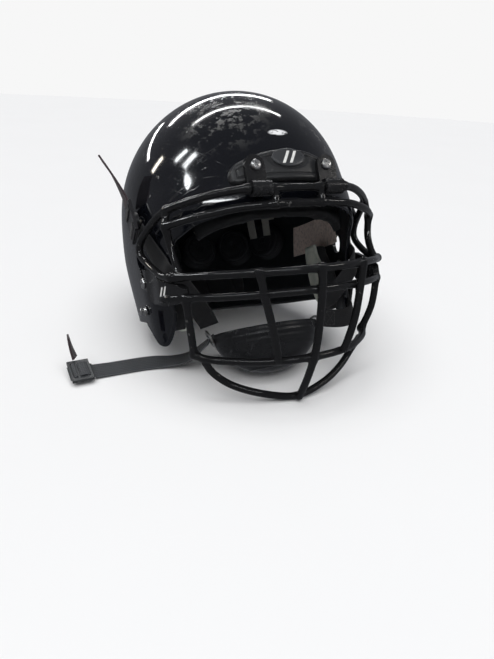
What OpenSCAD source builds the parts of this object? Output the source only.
// American football helmet, adult large, resting on its chin bar and nape.
// The helmet is drawn level, with the centre of its dome at the origin and the face towards -Y,
// and on_table() then pitches it back on to the table. Left and right are as seen from the front,
// so left is -X.

/* [Shell] */
// Half of the shell's width
shell_half_width = 116.5; // [112:0.5:120]
// Length of the shell in front of its widest level
front_half_length = 140; // [136:0.5:146]
// Length of the shell behind its widest level
rear_half_length = 144; // [138:0.5:150]
// Height of the crown above the widest level
crown_height = 124; // [118:0.5:130]
// Thickness of the polycarbonate wall
shell_wall = 4; // [3:0.5:5]

/* [Face mask] */
// Diameter of the main wire
wire_d = 6.8; // [5.5:0.1:7.5]
// Diameter of the short brow stubs
stub_d = 5.4; // [4:0.1:6.5]
// Half of the straight length of the brow bar
brow_half = 45.5; // [44:0.5:47]

/* [Chin strap] */
// Width of the webbing
strap_w = 19; // [16:0.5:25]
// Thickness of the webbing
strap_t = 1.8; // [1.2:0.1:2.4]

/* [Liner] */
// Radius of one shock absorber at its base
absorber_r = 24; // [20:0.5:26]
// Height of one shock absorber
absorber_h = 15; // [12:0.5:18]
// Thickness of the brow pad
brow_pad_t = 13; // [10:0.5:15]

/* [Resting] */
// Pitch of the helmet, back from level, on the table
rest_pitch = 27.4; // [27:0.1:28]

/* [Hidden] */
$fn = 48;

// Depth below the widest level at which the wall's taper is stated
skirt = 130;
// Where the resting helmet sits, so that the origin is under the middle of its box
rest_y = 30.2;
rest_lift = 130.08;
wire_r = wire_d / 2;
// Axis of the brow bar, which the mask swings on
brow_y = -151;
brow_z = -12;
// Screws: brow screws run along Y, side screws and snap studs along X
screw_r = 2.5;
tee_r = 3.6;
brow_screw = [34, 8.5];
side_screw = [-46.5, -68.5];
upper_stud = [-45, -10];
lower_stud = [-19, -93];
side_plate_x = [112.4, 116.4];

// ---------- placing ----------

module on_table() {
    translate([0, rest_y, rest_lift])
        rotate([-rest_pitch, 0, 0])
            children();
}

module both_sides() {
    children();
    mirror([1, 0, 0])
        children();
}

module flip(left) {
    mirror([left ? 1 : 0, 0, 0])
        children();
}

// ---------- the shell's surface ----------

function ease(a, b, x) = let (t = min(max((x - a) / (b - a), 0), 1)) t * t * (3 - 2 * t);
function signed_pow(v, e) = sign(v) * pow(abs(v), e);
// A level section of the shell is a superellipse, rounder at the crown and squarer at the ears
function section_power(z) = 2 + 0.6 * ease(20, -45, z);
function wall_taper(az) = 0.075 + 0.5 * ease(0.05, 0.95, sin(az));
// The cheeks are drawn in towards the jaw
function cheek(az, z) = ease(0.09, 0.5, -sin(az)) * (0.09 * ease(5, -60, z) + 0.05 * ease(-60, -120, z));
function half_length(y) = y < 0 ? front_half_length : rear_half_length;
function level_scale(az, z) = z >= 0
    ? sqrt(max(1 - pow(z / crown_height, 2), 0))
    : 1 - wall_taper(az) * pow(z / skirt, 2);
// q runs from 0 at the crown through 1 at the widest level, and on down the skirt
function shell_point(az, q, inset) = let (
        z = q <= 1 ? (crown_height - inset) * cos(90 * q) : (1 - q) * skirt,
        f = q <= 1 ? sin(90 * q) : level_scale(az, z),
        e = 2 / section_power(z)
    ) [(shell_half_width - inset) * f * signed_pow(cos(az), e) * (1 - cheek(az, z)),
       (half_length(sin(az)) - inset) * f * signed_pow(sin(az), e), z];
// Half-width of the surface at y and z, and its front at x and z
function side_x(y, z, inset) = let (
        n = section_power(z),
        f = level_scale(0, z),
        r = min(abs(y) / ((half_length(y) - inset) * f), 1),
        az = sign(y) * asin(pow(r, n / 2))
    ) (shell_half_width - inset) * f * pow(1 - pow(r, n), 1 / n) * (1 - cheek(az, z));
function front_y(x, z, inset) = let (
        n = section_power(z),
        f = level_scale(-90, z)
    ) -(front_half_length - inset) * f
        * pow(1 - pow(min(abs(x) / ((shell_half_width - inset) * f), 1), n), 1 / n);

// Lower edge of the shell from the brow to the nape: [azimuth, height]
rim = [
    [-90, -22], [-72, -22.5], [-58, -25.5], [-48, -28], [-39, -33], [-32, -37.5], [-29.3, -45],
    [-26.9, -55], [-24.1, -66], [-22.4, -77], [-21.3, -90], [-20.3, -103], [-17.4, -115],
    [-14.9, -123], [-12.1, -128], [-8.5, -126], [-5.6, -117], [-2.5, -108], [-0.4, -102],
    [8, -99], [22, -98], [40, -97], [56, -95.5], [72, -94.5], [90, -94]
];
rim_steps = 2;
half_columns = (len(rim) - 1) * rim_steps;
columns = 2 * half_columns;
rows = 18;

function catmull(a, b, c, d, t) = 0.5 * ((2 * b) + (c - a) * t + (2 * a - 5 * b + 4 * c - d) * t * t
    + (3 * b - a - 3 * c + d) * t * t * t);
function smooth_at(points, i, t) = let (last = len(points) - 1)
    catmull(points[max(i - 1, 0)], points[i], points[min(i + 1, last)], points[min(i + 2, last)], t);
function smooth_path(points, per) = [
    for (i = [0 : len(points) - 2]) for (k = [0 : per - 1]) smooth_at(points, i, k / per),
    points[len(points) - 1]
];

rim_half = smooth_path(rim, rim_steps);
// Column j of the whole shell: its azimuth at the crown, and its rim point
function column(j) = j <= half_columns
    ? [-90 + 180 * j / half_columns, rim_half[j][0], rim_half[j][1]]
    : let (m = columns - j) [270 - 180 * m / half_columns, 180 - rim_half[m][0], rim_half[m][1]];
function column_point(j, k, inset) = let (
        c = column(j),
        t = k / rows,
        az = c[0] + (c[1] - c[0]) * ease(0.1, 1, t)
    ) shell_point(az, t * (1 - c[2] / skirt), inset);

module shell_skin() {
    outer = [for (j = [0 : columns - 1]) for (k = [1 : rows]) column_point(j, k, 0)];
    inner = [for (j = [0 : columns - 1]) for (k = [1 : rows]) column_point(j, k, shell_wall)];
    n = columns * rows;
    top = [0, 0, crown_height];
    under = [0, 0, crown_height - shell_wall];
    function id(j, k) = (j % columns) * rows + k - 1;
    faces = [
        for (j = [0 : columns - 1]) each [
            [2 * n, id(j, 1), id(j + 1, 1)],
            [2 * n + 1, n + id(j + 1, 1), n + id(j, 1)],
            [id(j, rows), n + id(j, rows), id(j + 1, rows)],
            [id(j + 1, rows), n + id(j, rows), n + id(j + 1, rows)],
            for (k = [1 : rows - 1]) each [
                [id(j, k), id(j, k + 1), id(j + 1, k)],
                [id(j + 1, k), id(j, k + 1), id(j + 1, k + 1)],
                [n + id(j, k), n + id(j + 1, k), n + id(j, k + 1)],
                [n + id(j + 1, k), n + id(j + 1, k + 1), n + id(j, k + 1)]
            ]
        ]
    ];
    polyhedron(points = concat(outer, inner, [top, under]), faces = faces, convexity = 6);
}

module x_pin(r, x0, x1, yz) {
    translate([x0, yz[0], yz[1]])
        rotate([0, 90, 0])
            cylinder(r = r, h = x1 - x0);
}

module y_pin(r, y0, y1, xz) {
    translate([xz[0], y0, xz[1]])
        rotate([-90, 0, 0])
            cylinder(r = r, h = y1 - y0);
}

ear_hole = [-33, -44];
ear_hole_r = 10;

module shell() {
    color("#101216")
        on_table()
            difference() {
                shell_skin();
                both_sides() {
                    y_pin(tee_r + 0.2, -160, -120, brow_screw);
                    x_pin(tee_r + 0.2, 90, 130, side_screw);
                    x_pin(screw_r + 0.2, 90, 130, upper_stud);
                    x_pin(screw_r + 0.2, 90, 130, lower_stud);
                    x_pin(ear_hole_r, 90, 130, ear_hole);
                    translate([26, 18, 90])
                        cylinder(r = 5, h = 60);
                    y_pin(6, 100, 160, [38, 26]);
                }
            }
}

// ---------- plates that lie on the shell ----------

// Closed solid between two grids of points, in rows
module grid_solid(top, bottom) {
    m = len(top);
    n = len(top[0]);
    function t(i, j) = i * n + j;
    function b(i, j) = m * n + i * n + j;
    points = [for (g = [top, bottom]) for (row = g) for (p = row) p];
    faces = [
        for (i = [0 : m - 2]) for (j = [0 : n - 2]) each [
            [t(i, j), t(i, j + 1), t(i + 1, j)],
            [t(i + 1, j), t(i, j + 1), t(i + 1, j + 1)],
            [b(i, j), b(i + 1, j), b(i, j + 1)],
            [b(i + 1, j), b(i + 1, j + 1), b(i, j + 1)]
        ],
        for (j = [0 : n - 2]) each [
            [t(0, j), b(0, j), t(0, j + 1)], [t(0, j + 1), b(0, j), b(0, j + 1)],
            [t(m - 1, j), t(m - 1, j + 1), b(m - 1, j)], [t(m - 1, j + 1), b(m - 1, j + 1), b(m - 1, j)]
        ],
        for (i = [0 : m - 2]) each [
            [t(i, 0), t(i + 1, 0), b(i, 0)], [t(i + 1, 0), b(i + 1, 0), b(i, 0)],
            [t(i, n - 1), b(i, n - 1), t(i + 1, n - 1)], [t(i + 1, n - 1), b(i, n - 1), b(i + 1, n - 1)]
        ]
    ];
    polyhedron(points = points, faces = faces, convexity = 4);
}

bumper_half = 52;
bumper_low = -4;
bumper_t = 5;
clip_x = [25.5, 43.5];
seat_y = -142;
seat_top = 18;

function bumper_high(x) = 25 - 13 * pow(x / bumper_half, 2);
bumper_half_xs = [0, 6, 12, 18, clip_x[0] - 0.8, clip_x[0] - 0.6, 30, 38, clip_x[1] + 0.6,
    clip_x[1] + 0.8, 49, bumper_half];
bumper_xs = concat([for (i = [len(bumper_half_xs) - 1 : -1 : 1]) -bumper_half_xs[i]], bumper_half_xs);
function in_seat(x) = abs(x) > clip_x[0] - 0.7 && abs(x) < clip_x[1] + 0.7;
bumper_rows = 6;
function bumper_z(x, i) = bumper_low + (bumper_high(x) - bumper_low) * i / bumper_rows;

module front_bumper() {
    outer = [for (i = [0 : bumper_rows]) [for (x = bumper_xs) let (z = bumper_z(x, i))
        [x, in_seat(x) && z < seat_top ? seat_y : front_y(x, z, -bumper_t), z]]];
    inner = [for (i = [0 : bumper_rows]) [for (x = bumper_xs) let (z = bumper_z(x, i))
        [x, front_y(x, z, -0.1), z]]];
    color("#26282b")
        on_table()
            difference() {
                grid_solid(inner, outer);
                both_sides()
                    y_pin(tee_r + 0.2, -160, -120, brow_screw);
            }
}

emblem = [14, 7.6];

module bumper_emblem() {
    color("#4a4d52")
        on_table()
            translate([0, -143.9, 16])
                rotate([90, 0, 0])
                    linear_extrude(1.2)
                        polygon([for (i = [0 : 39]) [emblem[0] * cos(9 * i), emblem[1] * sin(9 * i)]]);
}

// Azimuth span, heights and insets of a plate on the back of the shell
function rear_grid(az0, az1, z0, z1, inset) = [for (i = [0 : 5]) [for (j = [0 : 14])
    shell_point(az0 + (az1 - az0) * j / 14, 1 - (z0 + (z1 - z0) * i / 5) / skirt, inset)]];

module nape_bumper() {
    color("#26282b")
        on_table()
            grid_solid(rear_grid(52, 128, -90, -66, -4), rear_grid(52, 128, -90, -66, -0.1));
}

// ---------- brow clips, screws and nuts ----------

clip_ring = wire_r + 3.2;
clip_middle = (clip_x[0] + clip_x[1]) / 2;
clip_front = -146.5;

module brow_clip() {
    difference() {
        union() {
            x_pin(clip_ring, clip_x[0], clip_x[1], [brow_y, brow_z]);
            translate([clip_x[0], clip_front, brow_z])
                cube([clip_x[1] - clip_x[0], seat_y - clip_front - 0.1, brow_screw[1] - brow_z]);
            y_pin((clip_x[1] - clip_x[0]) / 2, clip_front, seat_y - 0.1, [clip_middle, brow_screw[1]]);
        }
        x_pin(wire_r + 0.05, clip_x[0] - 1, clip_x[1] + 1, [brow_y, brow_z]);
        y_pin(screw_r + 0.2, -160, -120, brow_screw);
    }
}

module brow_clip_left() {
    color("#1b1c1e")
        on_table()
            flip(true)
                brow_clip();
}

module brow_clip_right() {
    color("#1b1c1e")
        on_table()
            flip(false)
                brow_clip();
}

// Inner face of the wall at the brow screws, and how far in from it the nut's flange sits
brow_nut_y = front_y(brow_screw[0], brow_screw[1], shell_wall) + 2.9;
nut_flange_r = 5.5;

module brow_screws() {
    color("silver")
        on_table()
            both_sides() {
                y_pin(4.6, clip_front - 2.8, clip_front, brow_screw);
                y_pin(screw_r, clip_front - 0.1, brow_nut_y + 1.4, brow_screw);
            }
}

module brow_tee_nuts() {
    color("silver")
        on_table()
            both_sides()
                difference() {
                    union() {
                        y_pin(nut_flange_r, brow_nut_y, brow_nut_y + 1.6, brow_screw);
                        y_pin(tee_r, brow_nut_y - 5, brow_nut_y + 0.1, brow_screw);
                    }
                    y_pin(screw_r, brow_nut_y - 6, brow_nut_y + 4, brow_screw);
                }
}

// ---------- face mask ----------

function unit(v) = v / norm(v);
function tangent(path, i) = unit(path[min(i + 1, len(path) - 1)] - path[max(i - 1, 0)]);
function square_to(v, t) = unit(v - (v * t) * t);

// Sweep a closed outline along a path; each outline point is [across, along the normal]
module sweep(path, normals, outline) {
    m = len(path);
    n = len(outline);
    points = [for (i = [0 : m - 1]) let (
            t = tangent(path, i),
            up = square_to(normals[i], t),
            side = cross(t, up)
        ) for (p = outline) path[i] + p[0] * side + p[1] * up];
    faces = [
        for (i = [0 : m - 2]) for (j = [0 : n - 1]) let (k = (j + 1) % n) each [
            [i * n + j, (i + 1) * n + j, i * n + k],
            [i * n + k, (i + 1) * n + j, (i + 1) * n + k]
        ],
        [for (j = [0 : n - 1]) j],
        [for (j = [n - 1 : -1 : 0]) (m - 1) * n + j]
    ];
    polyhedron(points = points, faces = faces, convexity = 6);
}

function ring_outline(r, sides) = [for (j = [0 : sides - 1]) let (a = 360 * j / sides) r * [sin(a), cos(a)]];
function reversed(list) = [for (i = [len(list) - 1 : -1 : 0]) list[i]];
function mirrored(path) = [for (p = path) [-p[0], p[1], p[2]]];
// Full width of a wire that is listed from its middle outwards
function full(half) = concat(reversed(mirrored([for (i = [1 : len(half) - 1]) half[i]])), half);

wire_sides = 10;

module wire(points, per, up, r) {
    path = smooth_path(points, per);
    sweep(path, [for (p = path) up], ring_outline(r, wire_sides));
}

// Each wire is listed for the right side, or from the middle outwards
loop_points = [
    [brow_half, brow_y, brow_z], [58, -145, -11.7], [74, -132.5, -11.8], [90, -117, -12.8],
    [101, -104, -14.5], [107, -92, -17.5], [111.5, -78, -22], [116, -63, -29], [118.5, -55, -35.5],
    [118.8, -53.5, -40.5], [117.8, -58, -46.5], [114.5, -71, -56.5], [111.5, -87, -66.5],
    [110, -97, -70.5], [106.5, -105, -72]
];
lower_brow_points = [[0, -150.6, -25], [24, -150, -25], [52, -145, -25.5], [78, -131, -27],
    [95, -116, -28], [105, -103, -28.5]];
eye_points = [[0, -168, -83], [25, -165, -82.5], [50, -155, -80.5], [75, -138, -77.5],
    [94, -119, -74.5], [106.5, -105, -72]];
nose_points = [[0, -162, -99.5], [25, -157.5, -99], [50, -147, -97.5], [75, -131, -95],
    [98, -110, -91], [110, -96, -89], [112, -86, -88.5]];
mouth_points = [[0, -136, -156], [25, -132, -155.5], [50, -122, -153], [74, -104, -148],
    [85, -93.5, -144.5], [90, -85, -140]];
chin_points = [[0, -96, -192.5], [33, -93, -185], [59, -86, -173], [75, -84, -159], [82, -90, -149]];
centre_points = [[0, -172, -82], [0, -168, -99], [0, -154.5, -130], [0, -139.5, -155.5],
    [0, -118, -178.5], [0, -101, -193]];
front_side_points = [[50, -159.5, -80], [47, -155.5, -97], [40, -148.5, -128], [33, -136, -154]];
lower_side_points = [[98, -110, -92], [95, -101, -118], [90, -85, -140]];
window_points = [[105, -103, -28.5], [101.5, -101, -50], [99.5, -109, -73]];
front_stub_points = [[22.2, brow_y, brow_z], [22.2, -150.8, -18], [22.2, -150.2, -25]];
side_stub_points = [[102, -103, -14.7], [104, -103, -22], [105, -103, -28.5]];

module brow_bar() {
    color("#161719")
        on_table()
            x_pin(wire_r, -brow_half, brow_half, [brow_y, brow_z]);
}

module mask_loops() {
    color("#161719")
        on_table()
            both_sides()
                wire(loop_points, 3, [1, -1, 1], wire_r);
}

module lower_brow_bar() {
    color("#161719")
        on_table()
            wire(full(lower_brow_points), 3, [0, 0, 1], wire_r);
}

module eye_bar() {
    color("#161719")
        on_table()
            wire(full(eye_points), 3, [0, 0, 1], wire_r);
}

module nose_bar() {
    color("#161719")
        on_table()
            wire(full(nose_points), 3, [0, 0, 1], wire_r);
}

module mouth_bar() {
    color("#161719")
        on_table()
            wire(full(mouth_points), 3, [0, 0, 1], wire_r);
}

module chin_bar() {
    color("#161719")
        on_table()
            wire(full(chin_points), 3, [0, -1, 0], wire_r);
}

module mask_uprights() {
    color("#161719")
        on_table() {
            wire(centre_points, 3, [1, 0, 0], wire_r);
            both_sides() {
                wire(front_side_points, 3, [1, 0, 0], wire_r);
                wire(lower_side_points, 3, [1, 0, 0], wire_r);
            }
        }
}

module window_uprights() {
    color("#161719")
        on_table()
            both_sides()
                wire(window_points, 3, [1, 0, 0], wire_r);
}

module brow_stubs() {
    color("#161719")
        on_table()
            both_sides() {
                wire(front_stub_points, 1, [1, 0, 0], stub_d / 2);
                wire(side_stub_points, 1, [1, 0, 0], stub_d / 2);
            }
}

// ---------- side clips ----------

// Seen from the side, [y, z], with an open slot that leaves the screw towards the back and top
side_clip_outline = [
    [-34, -51], [-44, -55], [-56, -58], [-66, -60], [-78, -66], [-88, -71], [-98, -75.5], [-108, -79],
    [-113, -84], [-112, -90], [-106, -94.5], [-98, -95.5], [-88, -94], [-76, -91.5], [-64, -90.5],
    [-56, -86], [-51, -78], [-44, -74.5], [-36, -73.5], [-33, -66]
];
// Seen from above, [x, y]: beside the shell, then following the bars inwards
side_clip_plan = [
    [113.6, -32], [side_plate_x[1], -31], [side_plate_x[1], -39], [side_plate_x[1], -54],
    [113.8, -63], [114, -76],
    [113.4, -87], [110, -98], [103.7, -109], [98.5, -115], [94.5, -111], [99, -106], [105, -96],
    [108.5, -86], [109, -76], [108.8, -64], [side_plate_x[0], -54], [side_plate_x[0], -39]
];

module side_clip() {
    // The mask moves down and forwards first, so the slot opens up and back
    reach = [-brow_z + side_screw[1], side_screw[0] - brow_y];
    slot_turn = atan2(reach[1], -reach[0]);
    // Wide enough for the arc that the tab moves along
    slot_half = screw_r + 1;
    difference() {
        intersection() {
            translate([90, 0, 0])
                rotate([90, 0, 90])
                    linear_extrude(40)
                        polygon(side_clip_outline);
            translate([0, 0, -110])
                linear_extrude(70)
                    polygon(side_clip_plan);
        }
        x_pin(screw_r + 0.4, 100, 130, side_screw);
        translate([100, side_screw[0], side_screw[1]])
            rotate([slot_turn, 0, 0])
                translate([0, 0, -slot_half])
                    cube([30, 40, 2 * slot_half]);
    }
}

module side_clip_left() {
    color("#1b1c1e")
        on_table()
            flip(true)
                side_clip();
}

module side_clip_right() {
    color("#1b1c1e")
        on_table()
            flip(false)
                side_clip();
}

module side_screws() {
    color("silver")
        on_table()
            both_sides() {
                x_pin(5, side_plate_x[1] + 0.4, side_plate_x[1] + 3.2, side_screw);
                x_pin(screw_r, 103.5, side_plate_x[1] + 0.5, side_screw);
            }
}

module side_tee_nuts() {
    nut_x = side_x(side_screw[0], side_screw[1], shell_wall) - 2.5;
    color("silver")
        on_table()
            both_sides()
                difference() {
                    union() {
                        x_pin(nut_flange_r, nut_x - 1.6, nut_x, side_screw);
                        x_pin(tee_r, nut_x - 0.1, nut_x + 5, side_screw);
                    }
                    x_pin(screw_r, nut_x - 4, nut_x + 6, side_screw);
                }
}

// ---------- snap studs, buckles ----------

stud_head_r = 4.2;
stud_neck_r = 3;
stud_stand = 5.5;

module stud(yz) {
    base = side_x(yz[0], yz[1], 0) + 0.9;
    x_pin(5, base, base + 1.2, yz);
    x_pin(stud_neck_r, base + 1.1, base + stud_stand, yz);
    translate([base + stud_stand - 1.2, yz[0], yz[1]])
        rotate([0, 90, 0])
            cylinder(r1 = stud_head_r, r2 = stud_neck_r, h = 2);
    x_pin(screw_r, base - 8, base + 0.1, yz);
}

module upper_studs() {
    color("silver")
        on_table()
            both_sides()
                stud(upper_stud);
}

module lower_studs() {
    color("silver")
        on_table()
            both_sides()
                stud(lower_stud);
}

module stud_nuts() {
    color("silver")
        on_table()
            both_sides()
                for (yz = [upper_stud, lower_stud]) {
                    base = side_x(yz[0], yz[1], shell_wall) - 1.5;
                    difference() {
                        x_pin(4.6, base - 2.4, base, yz);
                        x_pin(screw_r, base - 4, base + 1, yz);
                    }
                }
}

// Snap buckle: a socket over the stud and a ladder that the webbing is threaded through
buckle_t = 3;
socket_r = 8.5;
socket_h = 4.4;

module ladder(length, width, slot) {
    linear_extrude(buckle_t)
        difference() {
            square([length, width], center = true);
            for (s = [-1, 1])
                translate([s * slot, 0])
                    square([3.4, strap_w + 1], center = true);
        }
}

// Placed over a stud, with its length along the webbing, which falls away forwards
module snap_buckle(yz, fall) {
    base = side_x(yz[0], yz[1], 0) + 2.4;
    difference() {
        translate([base, yz[0], yz[1]])
            rotate([fall, 0, 0])
                rotate([90, 0, 90]) {
                    cylinder(r = socket_r, h = socket_h);
                    translate([0, 0, socket_h - 0.2])
                        ladder(34, strap_w + 5, 12.2);
                }
        x_pin(stud_head_r + 0.3, base - 2, base + 5.2, yz);
    }
}

module upper_buckle_left() {
    color("#1b1c1e")
        on_table()
            flip(true)
                snap_buckle(upper_stud, 65);
}

module upper_buckle_right() {
    color("#1b1c1e")
        on_table()
            flip(false)
                snap_buckle(upper_stud, 65);
}

module lower_buckle_right() {
    color("#1b1c1e")
        on_table()
            flip(false)
                snap_buckle(lower_stud, 25);
}

// ---------- webbing ----------

function strap_outline(w, t) = [
    [w / 2, t * 0.25], [w / 2 - 0.6, t / 2], [-w / 2 + 0.6, t / 2], [-w / 2, t * 0.25],
    [-w / 2, -t * 0.25], [-w / 2 + 0.6, -t / 2], [w / 2 - 0.6, -t / 2], [w / 2, -t * 0.25]
];

module strap(points, normals, per) {
    sweep(smooth_path(points, per), smooth_path(normals, per), strap_outline(strap_w, strap_t));
}

function on_side(y, z, off) = [side_x(y, z, 0) + off, y, z];

// Webbing of the right side, in the level frame: under the buckle, down the shell, round its
// front edge and in to the chin cup
upper_strap_points = [
    on_side(-49.2, -19, 2.9), on_side(-53, -27, 2.4), on_side(-57, -36, 1.7), on_side(-61, -45, 1.6),
    on_side(-66, -55, 1.9), [101.5, -74, -64], [97, -79, -71], [91, -80, -79], [83, -76, -89],
    [75, -70, -99], [68, -64, -108], [63, -59, -116]
];
upper_strap_normals = [
    [1, -0.1, 0], [1, -0.1, 0], [1, -0.2, 0], [1, -0.3, 0], [1, -0.4, 0], [1, -0.5, 0], [0.8, -0.7, 0.1],
    [0.6, -0.8, 0.3], [0.5, -0.8, 0.4], [0.5, -0.7, 0.5], [0.5, -0.6, 0.6], [0.5, -0.6, 0.6]
];
upper_tail_points = [[119.8, -37.2, 8], [122, -36.5, 17], [126, -35, 29], [131, -33, 42], [137, -30, 55]];
upper_tail_normals = [
    [1, 0, -0.2], [1, 0.1, -0.2], [0.9, 0.2, -0.3], [0.86, 0.3, -0.36], [0.86, 0.3, -0.36]
];
// The right tail is bent back along the shell
flat_tail_points = [[119.8, -37.2, 8], [121.5, -27, 15], [125, -12, 21], [131, 4, 26], [139.35, 20, 30]];
flat_tail_normals = [[1, 0, 0], [1, -0.2, 0.1], [1, -0.3, 0.1], [1, -0.4, 0], [1, -0.5, 0]];

module strap_side(left, points, normals, per) {
    color("#2a2a2c")
        on_table()
            flip(left)
                strap(points, normals, per);
}

module upper_strap_left() {
    strap_side(true, upper_strap_points, upper_strap_normals, 2);
}

module upper_strap_right() {
    strap_side(false, upper_strap_points, upper_strap_normals, 2);
}

module upper_tail_left() {
    strap_side(true, upper_tail_points, upper_tail_normals, 2);
}

module upper_tail_right() {
    strap_side(false, flat_tail_points, flat_tail_normals, 2);
}

lower_strap_points = [
    on_side(-28.2, -97.3, 2.9), on_side(-36, -101, 2.4), on_side(-43, -106, 2), on_side(-50, -113, 2.4),
    [101, -58.5, -119], [97, -64, -123], [90, -66, -126], [81, -65, -127], [72, -62, -126], [63, -58, -124]
];
lower_strap_normals = [
    [1, -0.1, 0], [1, -0.1, 0], [1, -0.3, 0], [1, -0.4, 0], [0.9, -0.7, 0], [0.6, -1, 0], [0.2, -1, 0],
    [0.2, -1, 0], [0.3, -1, 0], [0.3, -1, 0]
];
lower_tail_points = [[119.6, -2, -85], [120.5, 9, -81], [122, 20, -77], [123, 31, -74]];
lower_tail_normals = [[1, 0, 0], [1, -0.1, 0], [1, -0.1, 0], [1, 0, 0]];

module lower_strap_right() {
    strap_side(false, lower_strap_points, lower_strap_normals, 2);
}

module lower_tail_right() {
    strap_side(false, lower_tail_points, lower_tail_normals, 2);
}

// The unsnapped strap, in the table's frame: from the cup's ring, down, and out along the table
free_strap_points = [
    [-61, -74, 38], [-66, -67, 28], [-73, -60, 17], [-81, -52, 9], [-93, -45, 4.5], [-107, -41, 3.6],
    [-121, -39.5, 3.4], [-137, -39.5, 3.4], [-152, -40, 3.6], [-168, -41, 4.6]
];
free_strap_normals = [
    [-0.5, 0.2, 0.8], [-0.5, 0.2, 0.8], [-0.5, 0.1, 0.8], [-0.3, 0, 0.9], [-0.1, -0.1, 1],
    [0, -0.25, 1], [0, -0.25, 1], [0, -0.25, 1], [0, -0.25, 1], [0, -0.25, 1]
];

module lower_strap_left() {
    color("#2a2a2c")
        strap(free_strap_points, free_strap_normals, 4);
}

module lower_buckle_left() {
    color("#1b1c1e")
        translate([-181, -43.5, 9])
            rotate([13, 0, 4])
                difference() {
                    union() {
                        translate([0, 0, -buckle_t / 2])
                            ladder(20, 28, 6.4);
                        translate([0, 0, -buckle_t / 2 - socket_h + 0.2])
                            cylinder(r = 7, h = socket_h);
                    }
                    translate([0, 0, -buckle_t / 2 - socket_h - 1])
                        cylinder(r = stud_head_r + 0.3, h = 4.2);
                }
}

free_tail_points = [[-183.6, -29.5, 16], [-186, -26, 26], [-187.6, -23.5, 37]];
free_tail_normals = [[0.92, -0.32, 0.23], [0.92, -0.32, 0.23], [0.92, -0.32, 0.23]];

module lower_tail_left() {
    color("#2a2a2c")
        strap(free_tail_points, free_tail_normals, 3);
}

// ---------- chin cup, in the table's frame ----------

cup_centre = [-4, -78, 44];
cup_tip = 35;
cup_semi = [56, 34, 44];
cup_wall = 2.6;
cup_pad_t = 7;
cup_rings = 9;
cup_spokes = 28;

// A bowl below its rim plane, its axes across, back and down
function bowl_point(i, j, inset) = let (
        lat = 90 * i / cup_rings,
        az = 360 * j / cup_spokes
    ) [(cup_semi[0] - inset) * sin(lat) * cos(az), (cup_semi[1] - inset) * sin(lat) * sin(az),
       -(cup_semi[2] - inset) * cos(lat)];

module bowl(inset_out, inset_in) {
    n = cup_rings * cup_spokes;
    outer = [for (i = [1 : cup_rings]) for (j = [0 : cup_spokes - 1]) bowl_point(i, j, inset_out)];
    inner = [for (i = [1 : cup_rings]) for (j = [0 : cup_spokes - 1]) bowl_point(i, j, inset_in)];
    poles = [bowl_point(0, 0, inset_out), bowl_point(0, 0, inset_in)];
    function id(i, j) = (i - 1) * cup_spokes + j % cup_spokes;
    faces = [
        for (j = [0 : cup_spokes - 1]) each [
            [2 * n, id(1, j), id(1, j + 1)],
            [2 * n + 1, n + id(1, j + 1), n + id(1, j)],
            [id(cup_rings, j), n + id(cup_rings, j), id(cup_rings, j + 1)],
            [id(cup_rings, j + 1), n + id(cup_rings, j), n + id(cup_rings, j + 1)],
            for (i = [1 : cup_rings - 1]) each [
                [id(i, j), id(i + 1, j), id(i, j + 1)],
                [id(i, j + 1), id(i + 1, j), id(i + 1, j + 1)],
                [n + id(i, j), n + id(i, j + 1), n + id(i + 1, j)],
                [n + id(i, j + 1), n + id(i + 1, j + 1), n + id(i + 1, j)]
            ]
        ]
    ];
    polyhedron(points = concat(outer, inner, poles), faces = faces, convexity = 4);
}

module chin_cup() {
    color("#222426")
        translate(cup_centre)
            rotate([-cup_tip, 0, 0])
                bowl(0, cup_wall);
}

module chin_cup_pad() {
    color("#2d2f31")
        translate(cup_centre)
            rotate([-cup_tip, 0, 0])
                bowl(cup_wall + 0.2, cup_wall + cup_pad_t);
}

// Wire rings that join the webbing to the cup
module strap_rings() {
    color("silver")
        for (s = [-1, 1])
            translate([cup_centre[0] + s * (cup_semi[0] + 2), cup_centre[1] + 2, cup_centre[2] - 4])
                rotate([0, 90 + s * 25, 0])
                    rotate_extrude()
                        translate([8, 0])
                            circle(r = 1.3, $fn = 24);
}

// ---------- liner ----------

function brow_z_at(az, i) = let (low = -32 - 13 * pow(abs(az + 90) / 50, 2)) low + (16 - low) * i / 6;
function q_of(z) = z >= 0 ? acos(min(z / crown_height, 1)) / 90 : 1 - z / skirt;
function brow_pad_grid(inset) = [for (i = [0 : 6]) [for (j = [0 : 16]) let (az = -140 + 100 * j / 16)
    shell_point(az, q_of(brow_z_at(az, i)), inset)]];

module brow_pad() {
    color("#2b2d30")
        on_table()
            grid_solid(brow_pad_grid(shell_wall + 7), brow_pad_grid(shell_wall + 7 + brow_pad_t));
}

// A cushioned disc that stands on the inside of the shell at azimuth az and height z
module absorber(az, z, gap) {
    p = shell_point(az, q_of(z), shell_wall + gap);
    semi = [shell_half_width, rear_half_length, crown_height];
    d = unit([for (i = [0 : 2]) -p[i] / pow(semi[i], 2)]);
    // Sunk so that the flat base stays clear of the curved wall
    lift = pow(absorber_r, 2) / (2 * 112);
    translate(p + lift * d)
        rotate([0, acos(d[2]), atan2(d[1], d[0])])
            cylinder(r1 = absorber_r, r2 = absorber_r - 4, h = absorber_h);
}

module side_absorbers() {
    color("#16181a")
        on_table()
            for (az = [38 : 26 : 142])
                absorber(az, -16, 5);
}

module upper_absorbers() {
    color("#16181a")
        on_table()
            both_sides()
                for (az = [-62, -12, 34, 74])
                    absorber(az, az < -50 ? 52 : 48, 1.5);
}

module crown_pad() {
    color("#1d1f21")
        on_table()
            translate([0, 0, crown_height - shell_wall - 30])
                cylinder(r1 = 38, r2 = 46, h = 14);
}

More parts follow.
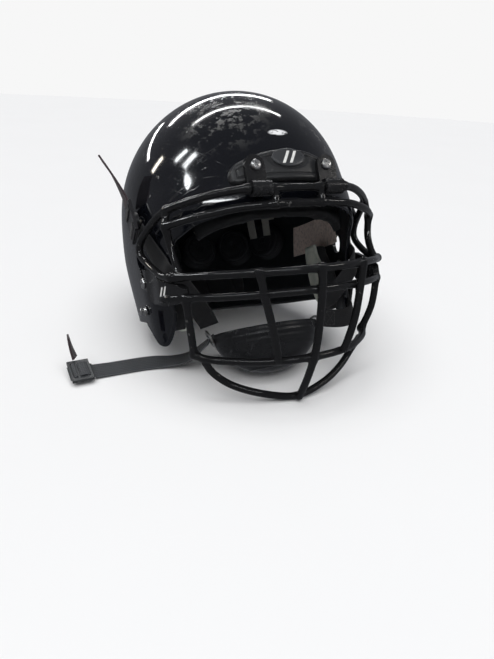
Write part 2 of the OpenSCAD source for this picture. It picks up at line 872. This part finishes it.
module nape_pad() {
    color("#1d1f21")
        on_table()
            grid_solid(rear_grid(62, 118, -88, -50, 20), rear_grid(62, 118, -88, -50, shell_wall + 1));
}

module liner_lace() {
    color("#b9b8ae")
        on_table()
            translate([0, 0, crown_height - shell_wall - 34])
                difference() {
                    cylinder(r = 34, h = 2.4);
                    translate([0, 0, -1])
                        cylinder(r = 28, h = 5);
                }
}

// Jaw pad: a slab inside the jaw flap, [z, y front, y back] from its top to its bottom
jaw_rows = [
    [-40, -20, 6], [-52, -22, 6], [-62, -30, 5], [-76, -44, 3], [-90, -50, -2], [-103, -49, -10],
    [-112, -46, -20], [-118, -42, -30]
];
function jaw_grid(inset) = [for (r = jaw_rows) [for (j = [0 : 6]) let (y = r[1] + (r[2] - r[1]) * j / 6)
    [side_x(y, r[0], inset), y, r[0]]]];
jaw_pad_inset = shell_wall + 5.5;
jaw_pad_t = 15;

module jaw_pad(left) {
    color("#1d1f21")
        on_table()
            flip(left)
                grid_solid(jaw_grid(jaw_pad_inset), jaw_grid(jaw_pad_inset + jaw_pad_t));
}

module jaw_face(left) {
    inset = jaw_pad_inset + jaw_pad_t + 0.2;
    color("#b9bab4")
        on_table()
            flip(left)
                grid_solid(jaw_grid(inset), jaw_grid(inset + 2));
}

module jaw_pad_left() {
    jaw_pad(true);
}

module jaw_pad_right() {
    jaw_pad(false);
}

module jaw_face_left() {
    jaw_face(true);
}

module jaw_face_right() {
    jaw_face(false);
}

// Blank label on the inside of the shell, above the wearer's left ear
function label_grid(inset) = [for (i = [0 : 3]) [for (j = [0 : 6])
    shell_point(-10 + 22 * j / 6, q_of(-38 + 30 * i / 3), inset)]];

module label_patch() {
    color("#c8b3ad")
        on_table()
            grid_solid(label_grid(shell_wall + 0.2), label_grid(shell_wall + 0.9));
}

shell();
front_bumper();
bumper_emblem();
nape_bumper();
brow_clip_left();
brow_clip_right();
brow_screws();
brow_tee_nuts();
brow_bar();
mask_loops();
lower_brow_bar();
eye_bar();
nose_bar();
mouth_bar();
chin_bar();
mask_uprights();
window_uprights();
brow_stubs();
side_clip_left();
side_clip_right();
side_screws();
side_tee_nuts();
upper_studs();
lower_studs();
stud_nuts();
upper_buckle_left();
upper_buckle_right();
lower_buckle_right();
lower_buckle_left();
upper_strap_left();
upper_strap_right();
lower_strap_right();
lower_strap_left();
upper_tail_left();
upper_tail_right();
lower_tail_right();
lower_tail_left();
strap_rings();
chin_cup();
chin_cup_pad();
brow_pad();
side_absorbers();
upper_absorbers();
crown_pad();
nape_pad();
liner_lace();
jaw_pad_left();
jaw_pad_right();
jaw_face_left();
jaw_face_right();
label_patch();
